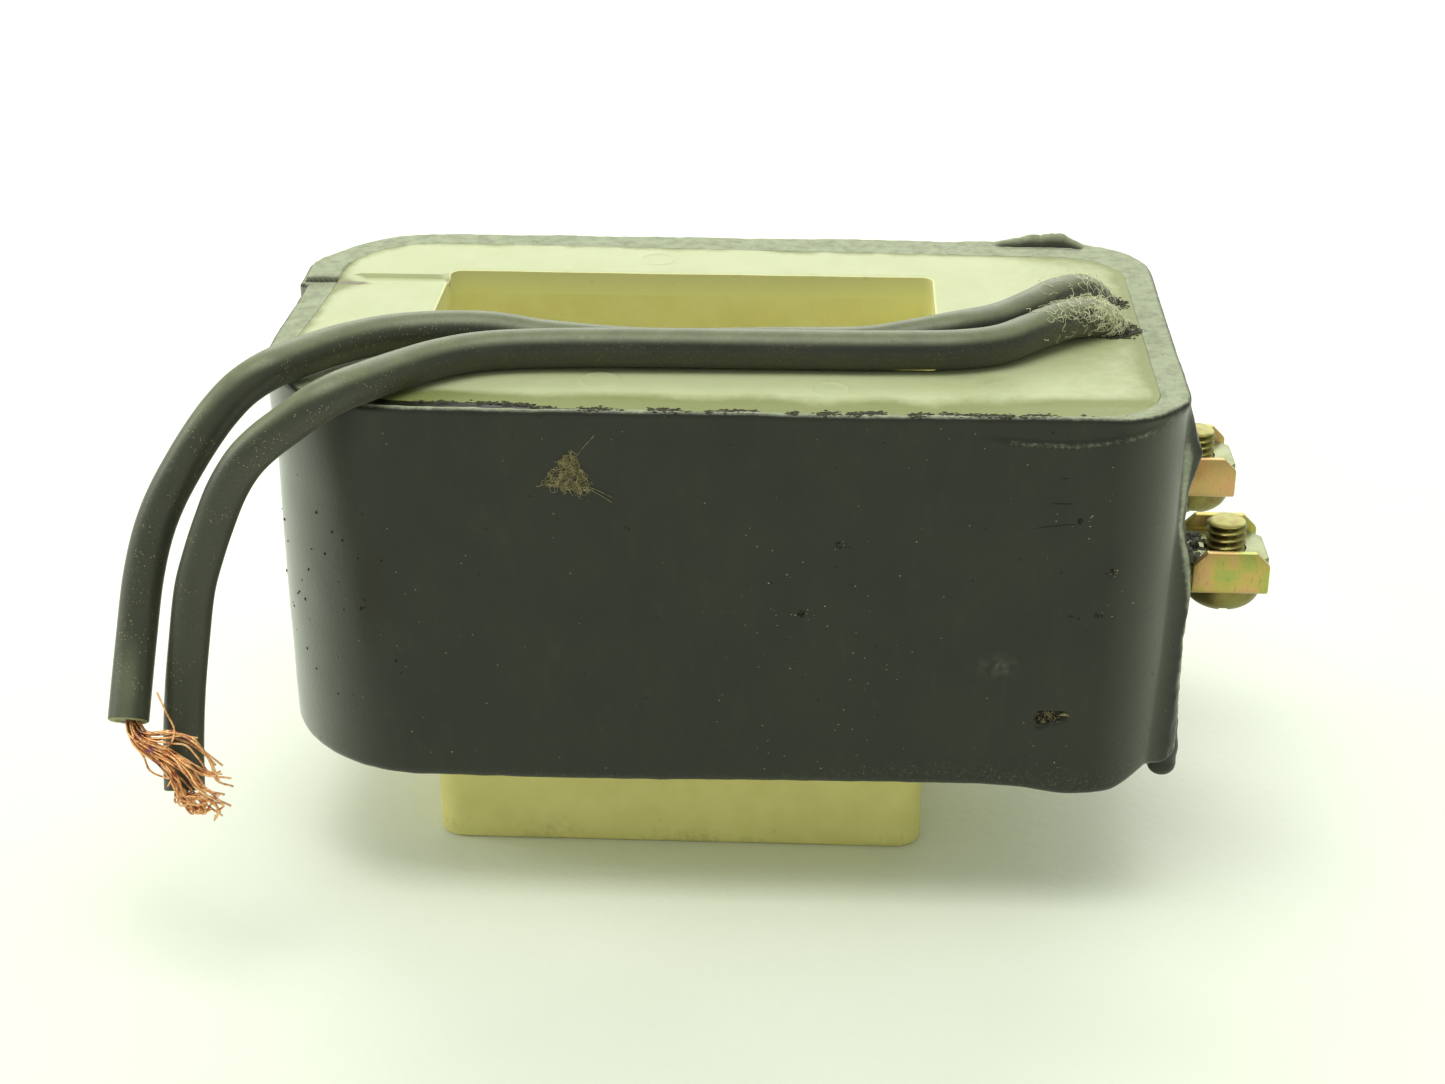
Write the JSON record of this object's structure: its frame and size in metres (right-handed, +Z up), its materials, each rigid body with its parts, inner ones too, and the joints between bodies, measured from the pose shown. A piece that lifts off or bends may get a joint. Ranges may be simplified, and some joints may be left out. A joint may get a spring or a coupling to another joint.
{
  "type": "ignition coil",
  "caption": "Potted rectangular coil: black moulded case round an ivory bobbin with a through window for an iron core, bare-ended flexible leads on top and screw clamp terminals at one end.",
  "frame": {"origin": "under the middle of the coil's box (case and terminals, without the free leads), on the plane of the core sleeve's lower rim", "axes": "+Z up along the core window, +X along the coil's length towards the screw terminals, +Y towards the back"},
  "size_m": [0.1149, 0.0714, 0.0602],
  "materials": {
    "case_rubber": "satin, dusty, chalky where the top rim was trimmed",
    "bobbin_ivory": "satin ivory nylon, yellowed",
    "winding_copper": "enamelled copper",
    "insulation_paper": "matte",
    "lead_insulation": "satin, dusty",
    "bare_copper": "bright",
    "ferrule_tin": "tinned",
    "tab_tin": "tin plate, dull",
    "saddle_zinc": "yellow passivated zinc",
    "screw_zinc": "yellow passivated zinc"
  },
  "bodies": {
    "coil": {"case_jacket": "case_rubber", "top_flange": "bobbin_ivory", "bottom_flange": "bobbin_ivory", "winding_tube": "bobbin_ivory", "core_sleeve": "bobbin_ivory", "primary_winding": "winding_copper", "interwinding_insulation": "insulation_paper", "secondary_winding": "winding_copper", "outer_winding_wrap": "insulation_paper", "rear_splice_ferrule": "ferrule_tin", "front_splice_ferrule": "ferrule_tin", "front_primary_end_wire": "winding_copper", "rear_primary_end_wire": "winding_copper", "front_secondary_end_wire": "winding_copper", "rear_secondary_end_wire": "winding_copper", "rear_lead": "lead_insulation", "front_lead": "lead_insulation", "rear_lead_strands": "bare_copper", "front_lead_strands": "bare_copper", "front_terminal_tab": "tab_tin", "rear_terminal_tab": "tab_tin"},
    "front_saddle": {"front_saddle_clamp": "saddle_zinc"},
    "front_screw": {"front_clamp_screw": "screw_zinc"},
    "rear_saddle": {"rear_saddle_clamp": "saddle_zinc"},
    "rear_screw": {"rear_clamp_screw": "screw_zinc"}
  },
  "joints": [
    {"name": "front_saddle_slide", "type": "slide", "parent": "coil", "child": "front_saddle", "axis": [0, 0, -1], "range_m": [-0.0006, 0.003]},
    {"name": "front_screw_turn", "type": "hinge", "parent": "front_saddle", "child": "front_screw", "pos_m": [0.0473, -0.0121, 0.0326], "axis": [0, 0, -1], "range_deg": [-272.3, 1360.8]},
    {"name": "rear_saddle_slide", "type": "slide", "parent": "coil", "child": "rear_saddle", "axis": [0, 0, -1], "range_m": [-0.0006, 0.003]},
    {"name": "rear_screw_turn", "type": "hinge", "parent": "rear_saddle", "child": "rear_screw", "pos_m": [0.0473, 0.0121, 0.0326], "axis": [0, 0, -1], "range_deg": [-272.3, 1360.8]}
  ],
  "couplings": [
    {"joint": "front_screw_turn", "follows": "front_saddle_slide", "rad_per_m": 7915.8},
    {"joint": "rear_screw_turn", "follows": "rear_saddle_slide", "rad_per_m": 7915.8}
  ]
}
